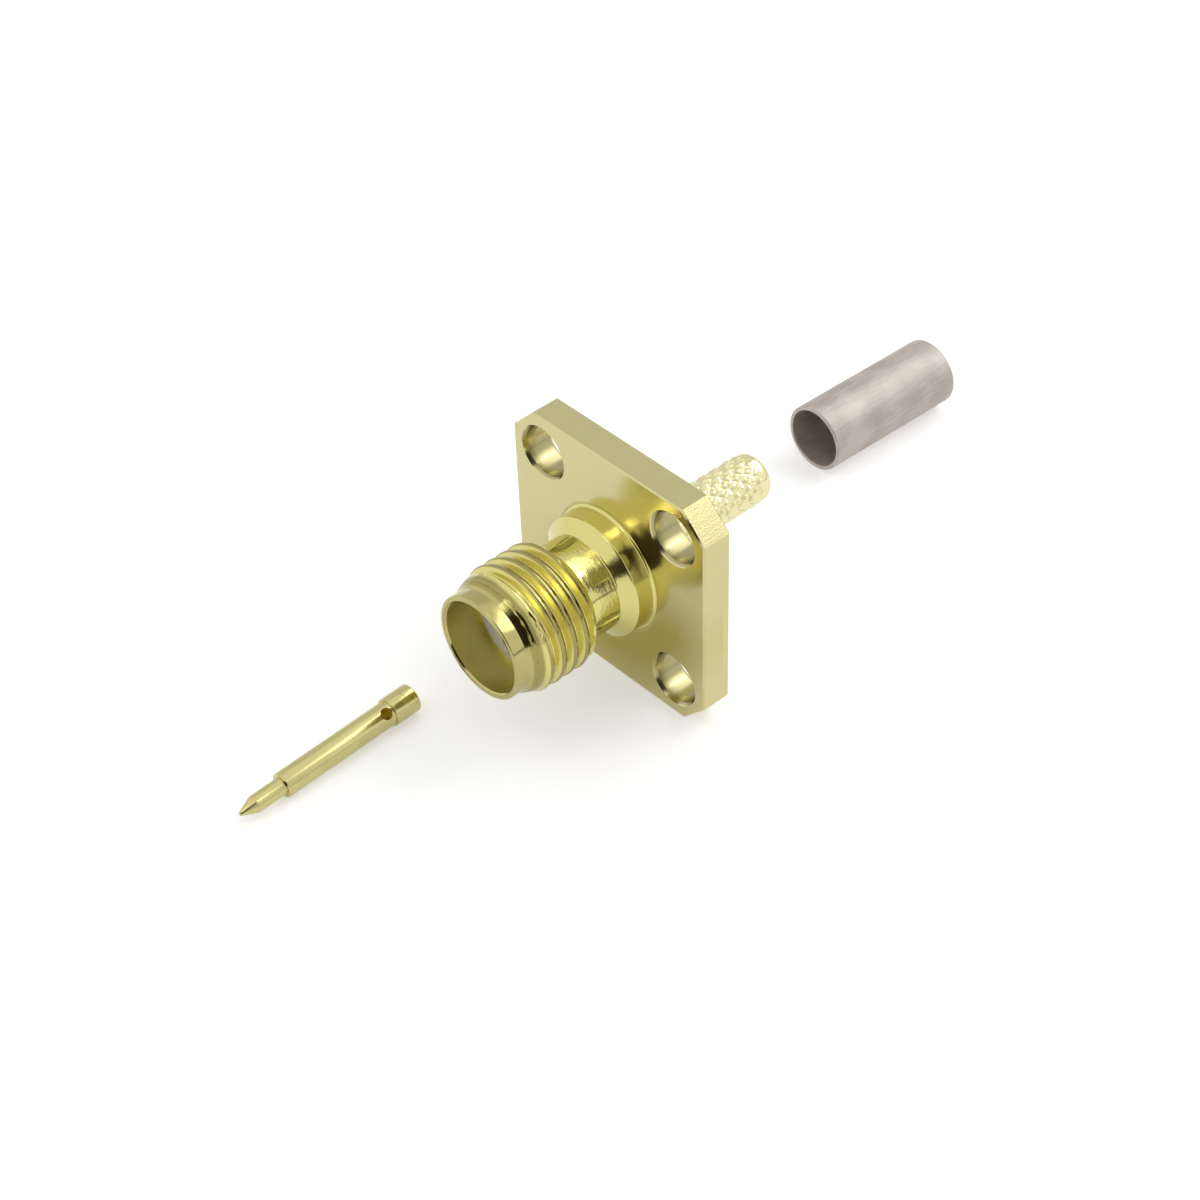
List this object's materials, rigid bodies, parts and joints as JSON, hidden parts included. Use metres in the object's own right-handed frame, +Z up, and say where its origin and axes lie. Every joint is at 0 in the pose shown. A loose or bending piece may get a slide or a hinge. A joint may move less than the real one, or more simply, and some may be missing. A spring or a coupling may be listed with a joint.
{
  "type": "sma connector",
  "caption": "Threaded coaxial panel jack on a square flange with corner screw holes and a knurled crimp stem, with its loose centre contact and crimp ferrule.",
  "frame": {"origin": "centre of the hole pattern on the flange's front face, on the connector's axis", "axes": "-Y along the connector's axis out of the mouth, +Z up with the flange standing on its edge, +X across the flange"},
  "size_m": [0.0126, 0.046, 0.0126],
  "materials": {
    "gold_plate": "bright gold plating on turned brass",
    "nickel_plate": "satin nickel plating on drawn brass tube",
    "ptfe": "natural white fluoropolymer, turned"
  },
  "bodies": {
    "root": {"jack_body": "gold_plate", "insulator": "ptfe", "centre_contact": "gold_plate", "crimp_ferrule": "nickel_plate"}
  },
  "joints": []
}
